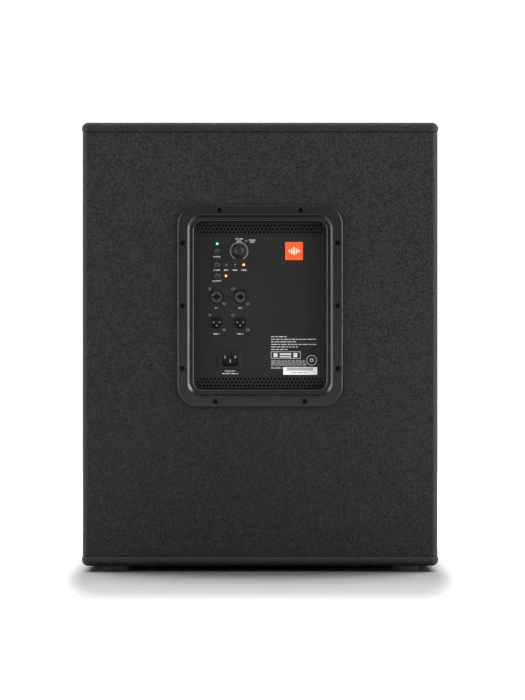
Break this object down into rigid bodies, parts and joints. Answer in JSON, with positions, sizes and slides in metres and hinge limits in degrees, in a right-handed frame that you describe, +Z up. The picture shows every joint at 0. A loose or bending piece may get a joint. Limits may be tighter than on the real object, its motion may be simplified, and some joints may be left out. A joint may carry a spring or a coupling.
{
  "type": "powered subwoofer",
  "caption": "Floor-standing powered bass loudspeaker in a tall box cabinet, with a recessed amplifier panel of jacks, knob, buttons and mains inlet, side handles, rubber feet and a sprung cone.",
  "frame": {"origin": "on the floor, under the middle of the cabinet's footprint", "axes": "+Z up; the connection panel faces -Y and the grille faces +Y; +X is to the right of someone who looks at the connection panel"},
  "size_m": [0.492, 0.568, 0.62],
  "materials": {
    "cabinet_paint": "moulded cap with the cabinet's textured dark charcoal coating",
    "raw_plywood": "unpainted plywood inside the cabinet",
    "moulded_black": "fine-grained black moulding",
    "foot_rubber": "black rubber",
    "zinc_steel": "zinc-plated steel",
    "black_screw": "black oxide screw",
    "grille_paint": "powder-coated perforated steel",
    "black_foam": "open-cell foam",
    "grey_felt": "fibre damping pad",
    "cast_basket": "cast aluminium, painted dark",
    "paper_cone": "pressed paper, coated black",
    "surround_cloth": "treated cloth",
    "spider_cloth": "resin-treated cloth",
    "copper_wire": "enamelled copper winding",
    "coil_paper": "glass-fibre former",
    "ferrite": "sintered ferrite",
    "panel_paint": "satin black steel panel",
    "housing_steel": "galvanised steel",
    "sink_aluminium": "extruded aluminium",
    "board_green": "glass-fibre circuit board",
    "transformer_wrap": "taped transformer",
    "capacitor_sleeve": "sleeved capacitor",
    "ferrite_core": "wound toroid",
    "chip_black": "moulded package",
    "connector_black": "moulded connector",
    "contact_metal": "plated contact",
    "button_black": "moulded button",
    "knob_black": "soft-touch knob",
    "light_lens": "diffusing light pipe",
    "badge_orange": "orange badge plate",
    "label_white": "white film label",
    "cable_sheath": "flexible cable sheath",
    "cabinet_wood": "plywood with a textured dark charcoal coating, matt"
  },
  "bodies": {
    "cabinet": {"amp_frame": "moulded_black", "amp_frame_gasket": "black_foam", "amp_frame_screws": "black_screw", "amp_heatsink": "sink_aluminium", "amp_panel": "panel_paint", "amp_rear_housing": "housing_steel", "badge_plate": "badge_orange", "bottom_board": "cabinet_wood", "bottom_cap": "cabinet_paint", "button_switches": "chip_black", "combo_jacks": "connector_black", "connector_pins": "contact_metal", "countersunk_screws": "black_screw", "damping_pads": "grey_felt", "front_baffle": "cabinet_wood", "front_grille": "grille_paint", "grille_foam": "black_foam", "grille_screws": "black_screw", "iec_inlet": "connector_black", "indicator_lights": "light_lens", "input_circuit_board": "board_green", "internal_brace": "raw_plywood", "left_handle": "moulded_black", "left_side_board": "cabinet_wood", "main_circuit_board": "board_green", "output_inductors": "ferrite_core", "panel_screws": "black_screw", "pole_socket": "zinc_steel", "port_tubes": "moulded_black", "power_transformer": "transformer_wrap", "power_transistors": "chip_black", "rating_label": "label_white", "rear_board": "cabinet_wood", "reservoir_capacitors": "capacitor_sleeve", "right_handle": "moulded_black", "right_side_board": "cabinet_wood", "rubber_feet": "foot_rubber", "speaker_cable": "cable_sheath", "top_board": "cabinet_wood", "top_cap": "cabinet_paint", "volume_pot": "zinc_steel", "woofer_basket": "cast_basket", "woofer_front_plate": "zinc_steel", "woofer_gasket": "black_foam", "woofer_magnet": "ferrite", "woofer_screws": "black_screw", "woofer_spider": "spider_cloth", "woofer_surround": "surround_cloth", "woofer_terminals": "moulded_black", "woofer_yoke": "zinc_steel", "xlr_outputs": "connector_black"},
    "volume_control": {"volume_knob": "knob_black", "volume_shaft": "zinc_steel"},
    "power_push": {"power_button": "button_black"},
    "crossover_push": {"crossover_button": "button_black"},
    "polarity_push": {"polarity_button": "button_black"},
    "cone_assembly": {"woofer_cone": "paper_cone", "woofer_dust_cap": "paper_cone", "voice_coil_former": "coil_paper", "voice_coil": "copper_wire"}
  },
  "joints": [
    {"name": "volume_turn", "type": "hinge", "parent": "cabinet", "child": "volume_control", "pos_m": [-0.0292, -0.264, 0.4429], "axis": [0, 1, 0], "range_deg": [-150, 150]},
    {"name": "power_press", "type": "slide", "parent": "cabinet", "child": "power_push", "axis": [0, 1, 0], "range_m": [0, 0.0015], "stiffness_N_per_m": 300, "springref_m": -0.002},
    {"name": "crossover_press", "type": "slide", "parent": "cabinet", "child": "crossover_push", "axis": [0, 1, 0], "range_m": [0, 0.0015], "stiffness_N_per_m": 300, "springref_m": -0.002},
    {"name": "polarity_press", "type": "slide", "parent": "cabinet", "child": "polarity_push", "axis": [0, 1, 0], "range_m": [0, 0.0015], "stiffness_N_per_m": 300, "springref_m": -0.002},
    {"name": "cone_travel", "type": "slide", "parent": "cabinet", "child": "cone_assembly", "axis": [0, 1, 0], "range_m": [-0.008, 0.008], "stiffness_N_per_m": 5000, "deforming": ["woofer_surround", "woofer_spider"]}
  ]
}
